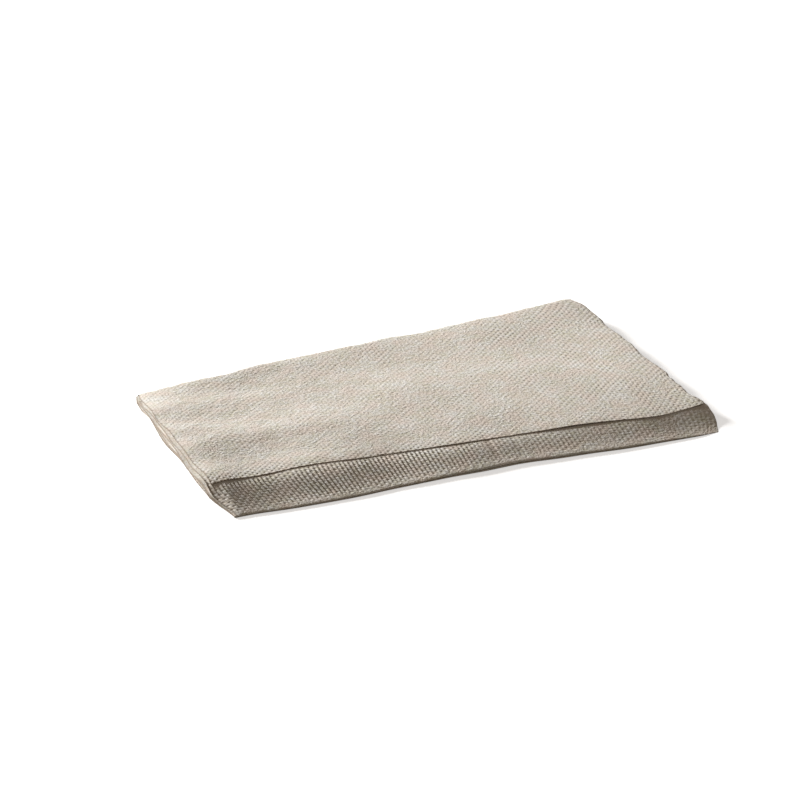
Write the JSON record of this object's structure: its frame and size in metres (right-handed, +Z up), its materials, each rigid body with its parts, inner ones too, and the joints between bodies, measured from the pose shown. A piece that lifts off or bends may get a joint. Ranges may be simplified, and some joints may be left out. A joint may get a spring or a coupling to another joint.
{
  "type": "folded paper napkin",
  "caption": "Thin unbleached tissue napkin folded in three lengthwise and once across, with an overlapping flap along one long side, for a napkin dispenser.",
  "frame": {"origin": "centre of the footprint, on the surface that the napkin lies on", "axes": "+X along the long side towards the cross fold, +Y towards the back fold, +Z up through the layers"},
  "size_m": [0.165, 0.101, 0.0029],
  "materials": {
    "tissue": "matt, embossed with a fine lattice"
  },
  "bodies": {
    "root": {"napkin": "tissue"}
  },
  "joints": []
}
